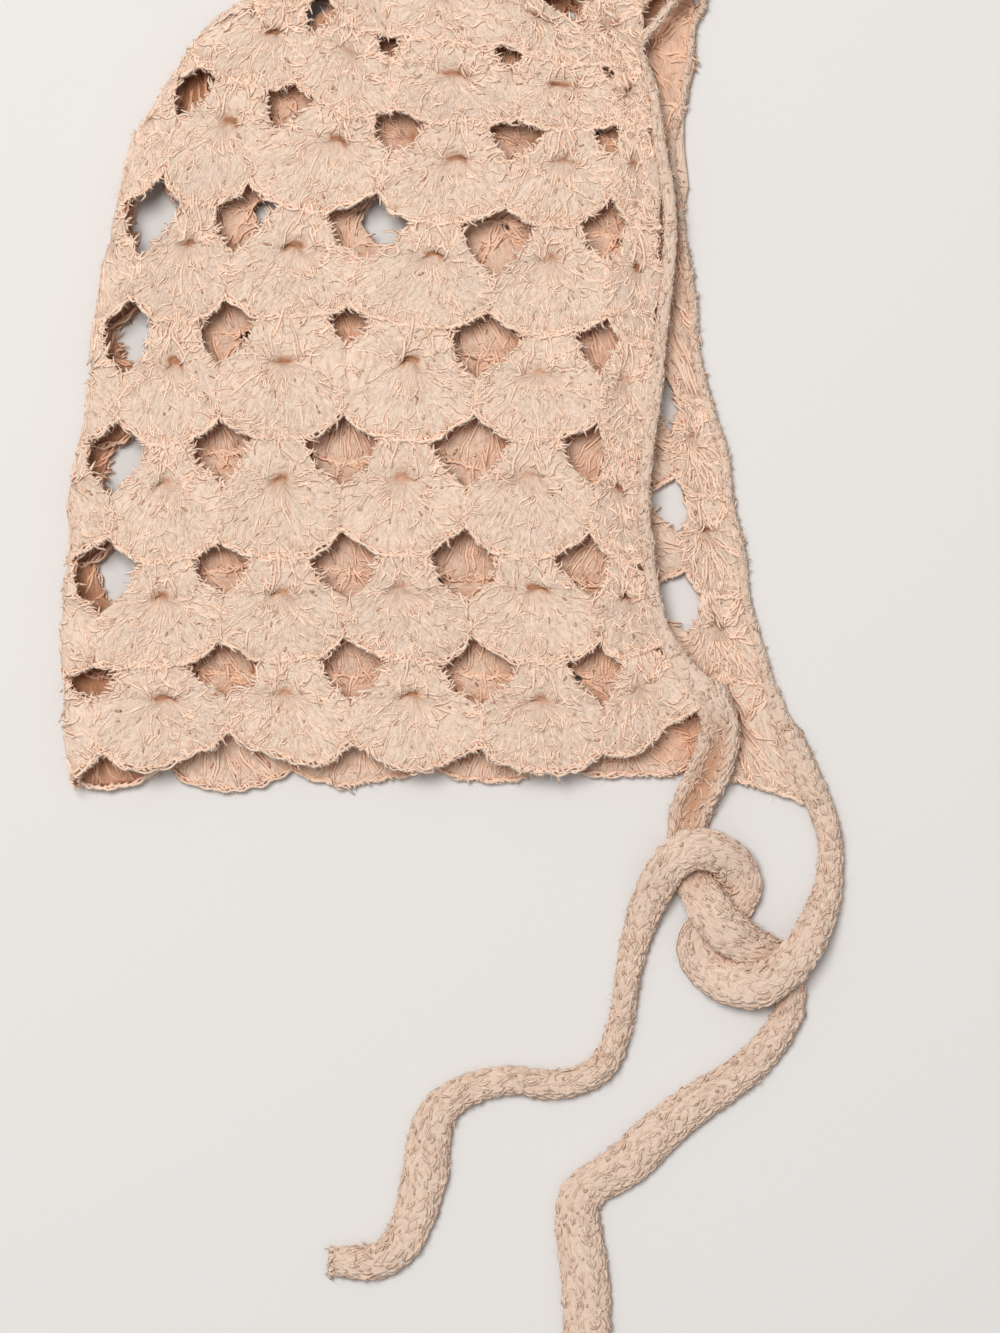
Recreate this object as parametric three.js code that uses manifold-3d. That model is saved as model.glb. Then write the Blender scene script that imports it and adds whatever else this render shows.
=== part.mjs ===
import * as THREE from 'three';
import { mergeVertices } from 'three/addons/utils/BufferGeometryUtils.js';
import Module from 'manifold-3d';

const wasm = await Module();
wasm.setup();

// A crocheted bonnet, laid flat and folded double along the back of the head.
// Millimetres. The face opening is on the right (+X), the crown is at the top (+Y),
// and the lower layer lies on Z = 0.

// ---- driving sizes ----
const fabricWall = 4;          // shell stitch in a brushed yarn
const foldHeight = 15;         // height of the folded hood over the back fold
const foldRadius = foldHeight / 2;
const innerRadius = foldRadius - fabricWall;
const foldLeg = 4;             // straight part of the fold, inwards of the bend
const mouthUnderside = 9;      // underside of the upper layer at the face and neck edges
const mouthReach = 45;         // the upper layer rises to full height over this distance
const shellRelief = 1.1;       // how far each shell puffs up
const shellPitch = 42;
const rowHeight = 37;
const reliefCell = 12;

const edgingWidth = 5;
const edgingThick = 3.8;
const seam = 0.45;             // clearance between touching pieces
const slantedSeam = 3;         // the same at the slanted end of the fold

const tieWidth = 10.5;
const tieThick = 4.6;

// middle of the folded hood in the coordinates of the tables below
const hoodMiddle = { across: -0.25, up: -0.08 };

const cutTolerance = 0.02;     // cuts closer than this are one
const yarnColour = 0xe6cbb4;

// ---- tables ----
function table(columns, rows) {
  return rows.map((row) => Object.fromEntries(columns.map((name, i) => [name, row[i]])));
}

// The back fold, from the neck up the back of the head and over the crown to the
// forehead. It bulges at each row of shells and nips in between.
const foldLine = table(['across', 'up'], [
  [-124.5, -131], [-126.5, -122], [-124.5, -110], [-126.5, -94], [-126, -78],
  [-123, -57.5], [-124.5, -42], [-120, -26], [-117.5, -10], [-116.5, 5],
  [-113.5, 26], [-111.5, 41.5], [-107, 54], [-105, 67], [-102, 79.5],
  [-95.5, 89], [-88.5, 99.5], [-83.5, 108.5], [-75, 118.5], [-62, 127.5],
  [-42, 136], [-15, 141.5], [14, 144], [44, 143], [69, 139], [85, 134],
]);

// At the forehead the end of the fold is slanted: the upper layer stops short by this
// much and the lower layer reaches as far past.
const foreheadSlant = 6;
const slantSections = 4;       // over the last sections of the fold

// Outer edge of the face opening on each layer, one row every 17 mm down from the forehead.
const faceTop = 127;
const faceStep = 17;
const faceEdge = table(['near', 'far'], [
  [80.5, 93], [74, 91], [78, 88.5], [80, 84.5], [83, 86.5], [83.5, 88.5],
  [82, 91.5], [80, 92.5], [78.5, 96.5], [76, 102], [74.5, 104], [76, 108],
  [78.5, 110], [84.5, 114.5], [98, 119.5], [112, 126],
]);
const nearFaceRows = 15;       // the upper layer's corner is one row higher, pulled up by its tie

// Neck edge, one row for each scallop: where its left cusp is and how far it hangs down.
const nearNeck = table(['across', 'up', 'drop'], [
  [-111, -130.5, 8], [-70, -123, 8.5], [-26, -126.5, 8], [16.5, -126.5, 8],
  [57.5, -129.5, 0], [66, -124, 0], [78, -122.5, 0], [91, -115.5, 0],
]);
const farNeck = table(['across', 'up', 'drop'], [
  [-116, -133.5, 10.5], [-90.5, -134, 5], [-47.5, -134, 6.5], [-2, -133, 5],
  [43, -132.5, 5.5], [88, -130, 3], [120, -132, 0],
]);

// Rows of openings between the shells, from the neck to the crown. 'fold' is the opening
// on the back fold and 'slant' how much lower the last opening of the row lies.
const holeColumns = ['level', 'fold', 'first', 'pitch', 'count', 'slant', 'width', 'height'];
const nearHoles = table(holeColumns, [
  [-99.5, -114, -70, 42.8, 4, 0, 20, 22],
  [-65, -111, -70, 41.4, 4, 0, 20, 22],
  [-25.5, -105.5, -71, 42, 4, 0, 20, 22],
  [13.5, -102, -70, 43, 4, 4, 19, 22],
  [53, -93.5, -65, 42, 4, 4, 19, 20],
  [89.5, -78.5, -48, 36.5, 4, 10, 16, 11],
  [107, null, -11.5, 36.5, 3, 5, 11, 9],
  [122, null, -36, 42.5, 3, 0, 12, 9],
]);
const farHoles = table(holeColumns, [
  [-104, null, -90.5, 44.6, 5, 2, 19, 21],
  [-69.5, null, -93.5, 45, 5, 7.5, 19, 24],
  [-30, null, -93.5, 44.2, 5, 13, 18, 26],
  [11.5, null, -98.5, 47.5, 5, 24, 17, 22],
  [54, null, -93.5, 39.5, 5, 10, 17, 20],
  [92, null, -70, 40.5, 4, 3, 15, 12],
  [122, null, -34, 41, 3, 1, 12, 9],
]);

// Half openings against the face edging, one for each row of shells.
const faceSlits = table(['near', 'far', 'height'], [
  [-97, -112, 10], [-68, -86, 13], [-35, -55, 13], [5, -19, 15], [42, 14, 14], [79, 48, 14],
]);
const slitWidth = 8;

// corners of one opening, as shares of its width and height: pointed above, blunt below
const holeCorners = table(['across', 'up'], [
  [0, 0.5], [-0.34, 0.2], [-0.5, -0.08], [-0.22, -0.5], [0.22, -0.5], [0.5, -0.08], [0.34, 0.2],
]);

// Knitted ties, from the front corner of each layer to the free end. 'height' is the
// middle of the tie over the floor: they pass over and under each other in one loose knot.
const tieColumns = ['across', 'up', 'height'];
const nearTiePath = table(tieColumns, [
  [97, -113.7, 10.4], [99.4, -118.8, 9.6], [98.2, -125.5, 8.4], [95.6, -132.5, 7], [92.2, -139.5, 5],
  [89.2, -146, 3.2], [87.3, -152.5, 2.6], [86.8, -160.5, 2.6], [90, -170.5, 3.9],
  [95.5, -179, 8.5], [102, -186, 8.8], [110.5, -192, 6], [117.5, -198, 2.6],
  [121.5, -205, 2.6], [122.5, -211, 2.6], [120.5, -219.5, 2.6],
  [113.5, -229.5, 2.6], [103.5, -239, 2.6], [89, -248.5, 2.6], [76, -259, 2.6],
  [67.5, -267.5, 2.6], [58, -273.5, 2.6], [50.5, -279.5, 2.6], [50, -290, 2.6],
  [52, -304, 2.6], [53, -318, 2.6], [52.5, -335, 2.6], [51, -355, 2.6], [48.5, -374, 2.6],
]);
const farTiePath = table(tieColumns, [
  [124, -129.6, 2.6], [130.5, -143, 2.6], [135, -156, 2.6], [135.5, -169, 2.6],
  [133, -181, 4], [127.5, -192, 7.6], [120, -201.5, 9], [111.5, -207, 8],
  [102, -207, 5.8], [94, -202, 3.2], [90.5, -194.5, 2.6], [94, -187.5, 2.6],
  [101.5, -182, 2.6], [106, -174.5, 3.4], [103, -167, 6], [96, -162, 8.8],
  [87.5, -161.5, 9.4], [80, -167.5, 8.4], [74.5, -178, 4.8], [70.5, -189, 2.6],
  [67, -203.5, 2.6], [65, -217, 2.6], [60, -233, 2.6], [50.5, -240, 2.6],
  [40, -241.5, 2.6], [27, -240, 2.6], [13.5, -243, 2.6], [3.5, -249.5, 2.6],
  [-0.5, -259, 2.6], [-2, -272, 2.6], [-6, -287, 2.6], [-10.5, -296, 2.6],
  [-19, -301.5, 2.6], [-34.5, -301.5, 2.6],
]);
const stepsPerPoint = 2;

// ---- working shapes ----
function smoothLine(rows, count) {
  const points = rows.map((row) => new THREE.Vector3(row.across, row.up, row.height ?? 0));
  return new THREE.CatmullRomCurve3(points, false, 'centripetal').getSpacedPoints(count);
}

function smoothStep(value) {
  return THREE.MathUtils.smoothstep(value, 0, 1);
}

// a closed mesh with shared corners, ready for cutting
function solidOf(geometry) {
  const bare = geometry.clone();
  bare.deleteAttribute('normal');
  bare.deleteAttribute('uv');
  const merged = mergeVertices(bare, 1e-4);
  const solid = new wasm.Manifold(new wasm.Mesh({
    numProp: 3,
    vertProperties: new Float32Array(merged.attributes.position.array),
    triVerts: new Uint32Array(merged.index.array),
  }));
  return solid.setTolerance(cutTolerance);
}

function geometryOf(solid) {
  const mesh = solid.getMesh();
  const geometry = new THREE.BufferGeometry();
  geometry.setAttribute('position', new THREE.BufferAttribute(mesh.vertProperties, 3));
  geometry.setIndex(new THREE.BufferAttribute(mesh.triVerts, 1));
  geometry.computeVertexNormals();
  return geometry;
}

function prism(outline, bottom, top) {
  const shape = new THREE.Shape(outline.map((p) => new THREE.Vector2(p.x, p.y)));
  const geometry = new THREE.ExtrudeGeometry(shape, { depth: top - bottom, bevelEnabled: false });
  return solidOf(geometry.translate(0, 0, bottom));
}

// ---- the hood's lines, seen from above ----
const foldPoints = smoothLine(foldLine, 46);

// unit vectors to the right of a line at each of its points, seen from above
function rightOf(line) {
  return line.map((point, i) => {
    const before = line[Math.max(i - 1, 0)];
    const after = line[Math.min(i + 1, line.length - 1)];
    return new THREE.Vector2(after.y - before.y, before.x - after.x).normalize();
  });
}

const foldInward = rightOf(foldPoints);

// a point at section i of the fold, so far inwards from the fold line and so high
function foldPlace(i, inwards, up, past = 0) {
  const p = foldPoints[i];
  const n = foldInward[i];
  const weight = smoothStep((i + 1 - foldPoints.length + slantSections) / slantSections);
  const along = past - (foreheadSlant * weight * (up - foldRadius)) / foldRadius;
  return new THREE.Vector3(p.x + n.x * inwards - n.y * along, p.y + n.y * inwards + n.x * along, up);
}

function neckLine(rows) {
  const line = [];
  for (let i = 0; i + 1 < rows.length; i += 1) {
    const steps = rows[i].drop > 0 ? 6 : 1;
    for (let k = 0; k < steps; k += 1) {
      const t = k / steps;
      line.push(new THREE.Vector2(
        THREE.MathUtils.lerp(rows[i].across, rows[i + 1].across, t),
        THREE.MathUtils.lerp(rows[i].up, rows[i + 1].up, t) - rows[i].drop * Math.sin(Math.PI * t),
      ));
    }
  }
  return line;
}

// each layer's face edge as points from the neck up
const faceCurves = {};
for (const layer of ['near', 'far']) {
  const count = layer === 'near' ? nearFaceRows : faceEdge.length;
  const rows = faceEdge.slice(0, count).map((row, i) => ({ across: row[layer], up: faceTop - i * faceStep }));
  faceCurves[layer] = smoothLine(rows, 32).reverse();
}

function faceLine(layer, inset) {
  const line = faceCurves[layer];
  const outward = rightOf(line);
  return line.map((p, i) => new THREE.Vector2(p.x - outward[i].x * inset, p.y - outward[i].y * inset));
}

function faceAt(layer, up) {
  const line = faceCurves[layer];
  const next = line.findIndex((p) => p.y >= up);
  if (next <= 0) return line[next < 0 ? line.length - 1 : 0].x;
  const t = (up - line[next - 1].y) / (line[next].y - line[next - 1].y);
  return THREE.MathUtils.lerp(line[next - 1].x, line[next].x, t);
}

// a layer's outline: neck edge, face edge, then back along the fold, inside its bend
function layerOutline(layer, neckRows) {
  const height = layer === 'near' ? foldHeight : 0;
  const inside = foldPoints.map((p, i) => foldPlace(i, foldRadius + foldLeg / 2, height)).reverse();
  const face = faceLine(layer, edgingWidth + seam).filter((p) => p.y < inside[0].y - 4);
  return [...neckLine(neckRows), ...face, ...inside];
}

function distanceToFold(x, y) {
  return Math.min(...foldPoints.map((p) => Math.hypot(p.x - x, p.y - y)));
}

// underside of the upper layer: full height inside, lower at the mouth, puffed at each shell
function upperUnderside(x, y) {
  const toMouth = Math.min(faceAt('near', y) - x, y + 130);
  const risen = smoothStep(toMouth / mouthReach);
  const held = smoothStep((distanceToFold(x, y) - foldRadius - foldLeg) / 30);
  const base = foldHeight - fabricWall - (foldHeight - fabricWall - mouthUnderside) * (1 - risen) * held;
  const ribs = 0.5 - 0.5 * Math.cos((2 * Math.PI * (x + 70)) / shellPitch);
  const rows = 0.65 + 0.35 * Math.cos((2 * Math.PI * (y + 81)) / rowHeight);
  return base + shellRelief * ribs * rows * held;
}

// ---- hood ----
// the bent cloth along the fold: a C section carried round the fold line
function foldLoft() {
  const section = [];
  const outerSteps = 6;
  const innerSteps = 4;
  section.push([foldRadius + foldLeg, foldHeight]);
  for (let i = 0; i <= outerSteps; i += 1) {
    const a = Math.PI / 2 + (Math.PI * i) / outerSteps;
    section.push([foldRadius + foldRadius * Math.cos(a), foldRadius + foldRadius * Math.sin(a)]);
  }
  section.push([foldRadius + foldLeg, 0]);
  section.push([foldRadius + foldLeg, fabricWall]);
  for (let i = 0; i <= innerSteps; i += 1) {
    const a = -Math.PI / 2 - (Math.PI * i) / innerSteps;
    section.push([foldRadius + innerRadius * Math.cos(a), foldRadius + innerRadius * Math.sin(a)]);
  }
  section.push([foldRadius + foldLeg, foldHeight - fabricWall]);

  const positions = [];
  foldPoints.forEach((p, i) => {
    for (const [inwards, up] of section) positions.push(...foldPlace(i, inwards, up));
  });
  const n = section.length;
  const last = (foldPoints.length - 1) * n;
  const faces = [];
  for (let i = 0; i + 1 < foldPoints.length; i += 1) {
    for (let k = 0; k < n; k += 1) {
      const a = i * n + k;
      const b = i * n + ((k + 1) % n);
      faces.push(a, b + n, b, a, a + n, b + n);
    }
  }
  const caps = THREE.ShapeUtils.triangulateShape(section.map((s) => new THREE.Vector2(s[0], s[1])), []);
  for (const [a, b, c] of caps) {
    faces.push(a, b, c, last + a, last + c, last + b);
  }
  const geometry = new THREE.BufferGeometry();
  geometry.setAttribute('position', new THREE.Float32BufferAttribute(positions, 3));
  geometry.setIndex(faces);
  return solidOf(geometry);
}

// the upper layer: a gridded sheet that follows upperUnderside, cut to its outline
function upperLayer() {
  const width = 240;
  const depth = 300;
  const sheet = new THREE.BoxGeometry(
    width, depth, 2, Math.round(width / reliefCell), Math.round(depth / reliefCell), 1,
  );
  const position = sheet.attributes.position;
  for (let i = 0; i < position.count; i += 1) {
    const x = position.getX(i) - 10;
    const y = position.getY(i);
    const lift = position.getZ(i) > 0 ? fabricWall : 0;
    position.setXYZ(i, x, y, upperUnderside(x, y) + lift);
  }
  return solidOf(sheet).intersect(prism(layerOutline('near', nearNeck), 0, 30));
}

function lowerLayer() {
  return prism(layerOutline('far', farNeck), 0, fabricWall);
}

function holePrisms(rows, bottom, top) {
  const prisms = [];
  for (const row of rows) {
    const places = [];
    if (row.fold !== null) places.push([row.fold, row.level]);
    for (let i = 0; i < row.count; i += 1) {
      const t = row.count > 1 ? i / (row.count - 1) : 0;
      places.push([row.first + i * row.pitch, row.level - row.slant * t * t]);
    }
    for (const [x, y] of places) {
      const outline = holeCorners.map((c) => new THREE.Vector2(
        x + c.across * row.width,
        y + c.up * row.height,
      ));
      prisms.push(prism(outline, bottom, top));
    }
  }
  return prisms;
}

function slitPrisms(layer, bottom, top) {
  return faceSlits.map((slit) => {
    const y = slit[layer];
    const x = faceAt(layer, y) - edgingWidth - seam;
    const half = slitWidth / 2;
    const outline = [
      new THREE.Vector2(x + half, y + slit.height / 2),
      new THREE.Vector2(x - half, y),
      new THREE.Vector2(x + half, y - slit.height / 2),
    ];
    return prism(outline, bottom, top);
  });
}

const middle = foldRadius + 0.2;
const strand = 1.6;            // left across the fold where openings of both layers meet
let hoodSolid = foldLoft().add(upperLayer()).add(lowerLayer());
for (const cut of [...holePrisms(nearHoles, middle + strand / 2, 30), ...slitPrisms('near', middle, 30)]) {
  hoodSolid = hoodSolid.subtract(cut);
}
for (const cut of [...holePrisms(farHoles, -5, middle - strand / 2), ...slitPrisms('far', -5, middle)]) {
  hoodSolid = hoodSolid.subtract(cut);
}

// ---- swept bands ----
// A path along which a flat band doesn't roll: its flat side keeps facing up, or where
// the path turns over, its edge keeps facing outwards. Its steps follow the given points,
// so bends have more of them.
class SteadyPath extends THREE.CatmullRomCurve3 {
  constructor(points, turnsOver) {
    super(points, false, 'centripetal');
    this.turnsOver = turnsOver;
  }

  getSpacedPoints(segments) {
    return this.getPoints(segments);
  }

  computeFrenetFrames(segments) {
    const frames = { tangents: [], normals: [], binormals: [] };
    const facing = this.turnsOver ? new THREE.Vector3(-1, 0, 0) : new THREE.Vector3(0, 0, 1);
    for (let i = 0; i <= segments; i += 1) {
      const tangent = this.getTangent(i / segments);
      const kept = facing.clone().addScaledVector(tangent, -facing.dot(tangent)).normalize();
      const other = new THREE.Vector3();
      if (this.turnsOver) other.crossVectors(kept, tangent);
      else other.crossVectors(tangent, kept);
      frames.tangents.push(tangent);
      frames.normals.push(this.turnsOver ? other : kept);
      frames.binormals.push(this.turnsOver ? kept : other);
    }
    return frames;
  }
}

function band(points, width, thick, stepsPerPoint, turnsOver) {
  const section = new THREE.Shape();
  const sides = 8;
  for (let i = 0; i < sides; i += 1) {
    const a = (2 * Math.PI * (i + 0.5)) / sides;
    const x = (Math.cos(a) * thick) / 2 / Math.cos(Math.PI / sides);
    const y = (Math.sin(a) * width) / 2 / Math.cos(Math.PI / sides);
    if (i === 0) section.moveTo(x, y);
    else section.lineTo(x, y);
  }
  const path = new SteadyPath(points, turnsOver);
  const steps = stepsPerPoint * (points.length - 1);
  return new THREE.ExtrudeGeometry(section, { steps, bevelEnabled: false, extrudePath: path });
}

// up the near face edge, round the end of the fold and down the far face edge
function edgingPath() {
  const half = edgingWidth / 2;
  const points = [];
  const middleOfWall = fabricWall / 2;
  const bend = foldRadius - middleOfWall;
  const turn = [];
  for (let i = 0; i <= 6; i += 1) {
    const a = Math.PI / 2 + (Math.PI * i) / 6;
    turn.push(foldPlace(
      foldPoints.length - 1,
      foldRadius + bend * Math.cos(a),
      foldRadius + bend * Math.sin(a),
      slantedSeam + half,
    ));
  }
  for (const p of faceLine('near', half)) {
    const z = upperUnderside(p.x - edgingWidth, p.y) + middleOfWall;
    if (p.y < turn[0].y - 8) points.push(new THREE.Vector3(p.x, p.y, z));
  }
  points.push(...turn);
  for (const p of faceLine('far', half).reverse()) {
    if (p.y < turn[6].y - 5) points.push(new THREE.Vector3(p.x, p.y, middleOfWall));
  }
  return points;
}

function tie(rows) {
  const points = rows.map((row) => new THREE.Vector3(row.across, row.up, row.height));
  return band(points, tieWidth, tieThick, stepsPerPoint, false);
}

// ---- assembly ----
function yarn() {
  return new THREE.MeshStandardMaterial({ color: yarnColour, roughness: 0.95, metalness: 0 });
}

const group = new THREE.Group();

function addPiece(name, geometry) {
  const mesh = new THREE.Mesh(geometry, yarn());
  mesh.name = name;
  group.add(mesh);
}

addPiece('hood', geometryOf(hoodSolid));
addPiece('face_edging', band(edgingPath(), edgingWidth, edgingThick, 1, true));
addPiece('near_tie', tie(nearTiePath));
addPiece('far_tie', tie(farTiePath));

group.position.set(-hoodMiddle.across, -hoodMiddle.up, 0);

export default group;
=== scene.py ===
import bpy
import numpy as np
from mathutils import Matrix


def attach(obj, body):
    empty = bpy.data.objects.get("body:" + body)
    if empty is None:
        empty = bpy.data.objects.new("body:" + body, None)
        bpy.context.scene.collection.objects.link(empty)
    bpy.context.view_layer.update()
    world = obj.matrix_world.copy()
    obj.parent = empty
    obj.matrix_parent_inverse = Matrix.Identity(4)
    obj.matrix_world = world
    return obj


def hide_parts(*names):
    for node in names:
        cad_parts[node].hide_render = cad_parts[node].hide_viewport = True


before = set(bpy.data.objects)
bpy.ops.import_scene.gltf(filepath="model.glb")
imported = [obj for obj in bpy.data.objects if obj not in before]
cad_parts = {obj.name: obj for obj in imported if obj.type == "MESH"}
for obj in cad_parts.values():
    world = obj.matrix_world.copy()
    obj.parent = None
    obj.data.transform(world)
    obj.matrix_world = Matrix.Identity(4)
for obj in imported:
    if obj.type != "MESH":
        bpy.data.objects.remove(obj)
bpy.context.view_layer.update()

# A crocheted bonnet, laid flat and folded double, its knitted ties in a loose knot.
# Lines and tables are in millimetres on the table top. toMetres shifts them to the frame.
hoodMiddle = np.array([-0.25, -0.08, 0.0])
draw = np.random.default_rng(41)  # every random draw comes from here


def toMetres(points):
    return (np.asarray(points, float) - hoodMiddle) / 1000


def placed(name, data):
    item = bpy.data.objects.new(name, data)
    bpy.context.scene.collection.objects.link(item)
    return item


# camera, first because the ties run out of its view
cameraSet = {
    "across": 23.46,      # what the middle of the picture looks at
    "up": -99.62,
    "distance": 1150.0,   # from the table straight up to the lens
    "seenHeight": 453.2,  # table shown from the top to the bottom of the picture
    "sensor": 36.0,
}


def makeCamera(size):
    data = bpy.data.cameras.new("camera")
    data.sensor_width = size["sensor"]
    data.lens = size["sensor"] * size["distance"] / size["seenHeight"]
    data.clip_start = 0.05
    data.clip_end = 20
    camera = placed("camera", data)
    camera.location = toMetres([size["across"], size["up"], size["distance"]])
    bpy.context.scene.camera = camera


makeCamera(cameraSet)
print("camera ready")


# small helpers for lines
def smoothPath(points, perSegment):
    # a smooth line through the points
    p = np.asarray(points, float)
    before = np.vstack([2 * p[:1] - p[1:2], p[:-2]])[:, None]
    after = np.vstack([p[2:], 2 * p[-1:] - p[-2:-1]])[:, None]
    here = p[:-1, None]
    there = p[1:, None]
    t = np.linspace(0, 1, perSegment, endpoint=False)[None, :, None]
    curve = 0.5 * (
        2 * here + (there - before) * t
        + (2 * before - 5 * here + 4 * there - after) * t**2
        + (3 * here - before - 3 * there + after) * t**3
    )
    return np.vstack([curve.reshape(-1, p.shape[1]), p[-1:]])


def lengthsAlong(points):
    steps = np.linalg.norm(np.diff(points, axis=0), axis=1)
    return np.concatenate([[0], np.cumsum(steps)])


def evenPath(points, spacing):
    s = lengthsAlong(points)
    count = max(2, int(round(s[-1] / spacing)) + 1)
    marks = np.linspace(0, s[-1], count)
    return np.stack([np.interp(marks, s, points[:, k]) for k in range(points.shape[1])], axis=1)


def smoothStep(value):
    t = np.clip(value, 0, 1)
    return t * t * (3 - 2 * t)


def rampUp(value, start, width):
    # 0 up to the start, then smoothly up to 1
    return smoothStep((value - start) / width)


def unit(vectors):
    return vectors / np.maximum(np.linalg.norm(vectors, axis=-1, keepdims=True), 1e-9)


def travelOf(paths, axis=1):
    return unit(np.gradient(paths, axis=axis))


def rightOf(lines, axis=1):
    # the way to the right of flat lines, as one walks along them
    travel = travelOf(lines, axis)
    return np.stack([travel[..., 1], -travel[..., 0]], axis=-1)


def ripple(points, wavelength, seed):
    # a smooth random field from -1 to 1 over the plan
    own = np.random.default_rng(seed)
    total = np.zeros(points.shape[:-1])
    for _ in range(6):
        angle = own.uniform(0, 2 * np.pi)
        turn = 2 * np.pi / (wavelength * own.uniform(0.7, 1.5))
        phase = own.uniform(0, 2 * np.pi)
        total += np.sin(turn * (points[..., 0] * np.cos(angle) + points[..., 1] * np.sin(angle)) + phase)
    return total / 3.2


# the hood's lines
foldLine = [
    [-120.6, -151], [-121.8, -143], [-123, -136], [-124.8, -128.5], [-126.4, -120],
    [-124.5, -110], [-126.5, -94], [-126, -78],
    [-123, -57.5], [-124.5, -42], [-120, -26], [-117.5, -10], [-116.5, 5],
    [-113.5, 26], [-111.5, 41.5], [-107, 54], [-105, 67], [-102, 79.5],
    [-95.5, 89], [-88.5, 99.5], [-83.5, 108.5], [-75, 118.5], [-62, 127.5],
    [-42, 136], [-15, 141.5], [14, 144], [44, 143], [69, 139], [85, 134],
]
faceTop = 127   # the face edges have one entry every faceStep down from here
faceStep = 17
nearFace = [80.5, 74, 78, 80, 83, 83.5, 82, 80, 78.5, 76, 74.5, 76, 78.5, 84.5, 98]
farFace = [93, 91, 88.5, 84.5, 86.5, 88.5, 91.5, 92.5, 96.5, 102, 104, 108, 110, 114.5, 119.5, 126]

bend = {
    "radius": 7.5,       # outside of the fold
    "middle": 5.5,       # middle of the cloth in the fold
    "upper": 13.0,       # middle of the upper layer over the table
    "lower": 2.0,        # middle of the lower layer
    "mouthDrop": 2.0,    # how much lower the upper layer lies at the mouth
    "mouthReach": 45.0,
    "foldStart": 11.5,   # the upper layer lies freely from here inwards
    "foldReach": 30.0,
    "hem": -130.0,       # level of the neck edge
    "upperSag": 0.5,
    "lowerSag": 0.25,
    "puff": 2.6,         # how far the covered part of the lower layer rises
    "least": 0.15,       # lowest place of the yarn over the table
}
# painted shade: the lower layer's colour is deeper under the upper one, most of all in two dark places
underShade = {"lower": 0.07, "slot": 5.0, "crown": 4.0}

foldCurve = evenPath(smoothPath(foldLine, 8), 2.0)
foldInward = rightOf(foldCurve, 0)


def faceAt(rows, up):
    levels = faceTop - faceStep * np.arange(len(rows))
    return np.interp(up, levels[::-1], rows[::-1])


def nearestFold(points):
    # distance inside the fold line, the way inwards, and the place on the line
    flat = points.reshape(-1, 2)
    inside = []
    inwards = []
    atOnce = 20000
    for start in range(0, len(flat), atOnce):
        part = flat[start:start + atOnce]
        gap = ((part[:, None] - foldCurve[None]) ** 2).sum(axis=2)
        share = np.exp(-(gap - gap.min(axis=1, keepdims=True)) / 40)
        share /= share.sum(axis=1, keepdims=True)
        inwards.append(unit(share @ foldInward))
        inside.append(((part - share @ foldCurve) * inwards[-1]).sum(axis=1))
    inside = np.concatenate(inside).reshape(points.shape[:-1])
    inwards = np.concatenate(inwards).reshape(points.shape)
    return inside, inwards, points - inwards * inside[..., None]


def upperMiddle(points, inside):
    toMouth = np.minimum(faceAt(nearFace, points[..., 1]) - points[..., 0], points[..., 1] - bend["hem"])
    risen = smoothStep(toMouth / bend["mouthReach"])
    held = rampUp(inside, bend["foldStart"], bend["foldReach"])
    sag = bend["upperSag"] * ripple(points, 70, 5) * held
    return bend["upper"] - bend["mouthDrop"] * (1 - risen) * held + sag


def shadeUnderUpper(points):
    # painted shade: 1 where the lower layer lies under the upper one, and more in the shadowed slot by the
    # near tie and at the crown
    across, up = points[:, 0], points[:, 1]
    toRight = rampUp(across, 45, 15)
    slot = toRight * rampUp(-up, 112, 6) * rampUp(up, -134, 5)
    crown = rampUp(up, 86, 12) * rampUp(across, 70, 6)
    under = np.maximum(rampUp(faceAt(nearFace, up) - across, 3, 8), crown)
    fromHem = up + 142 - 5 * toRight
    return under * rampUp(fromHem, 1, 6) * (1 + underShade["slot"] * slot + underShade["crown"] * crown)


def placeUpper(points, h):
    # upper cloth: flat over the table, then round the fold and on under the lower layer
    inside, inwards, foot = nearestFold(points)
    past = bend["radius"] - inside
    turnLength = bend["middle"] * np.pi
    angle = np.clip(past, 0, turnLength) / bend["middle"]
    reach = bend["middle"] + h
    along = bend["radius"] - reach * np.sin(angle) + np.maximum(past - turnLength, 0)
    z = bend["radius"] + reach * np.cos(angle)
    flat = past <= 0
    plan = np.where(flat[..., None], points, foot + inwards * along[..., None])
    z = np.where(flat, upperMiddle(points, inside) + h, z)
    return np.concatenate([plan, np.maximum(z, bend["least"])[..., None]], axis=-1)


def placeLower(points, h):
    # the lower layer puffs up a little where the upper one covers it
    inside, _, _ = nearestFold(points)
    fromFace = faceAt(nearFace, points[..., 1]) - points[..., 0]
    puff = rampUp(inside, 10, 16) * rampUp(fromFace, 4, 14) * rampUp(points[..., 1], bend["hem"], 14)
    z = bend["lower"] + (bend["lowerSag"] * ripple(points, 60, 8) + bend["puff"] * puff) + h
    return np.concatenate([points, np.maximum(z, bend["least"])[..., None]], axis=-1)


def roundTheFold(point):
    # a place on the lower layer, as the upper cloth counts it
    spot = np.array([point], float)
    inside, inwards, foot = nearestFold(spot)
    back = bend["middle"] * np.pi - 2 * bend["radius"]
    return (foot - inwards * (inside[:, None] + back))[0]


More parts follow.
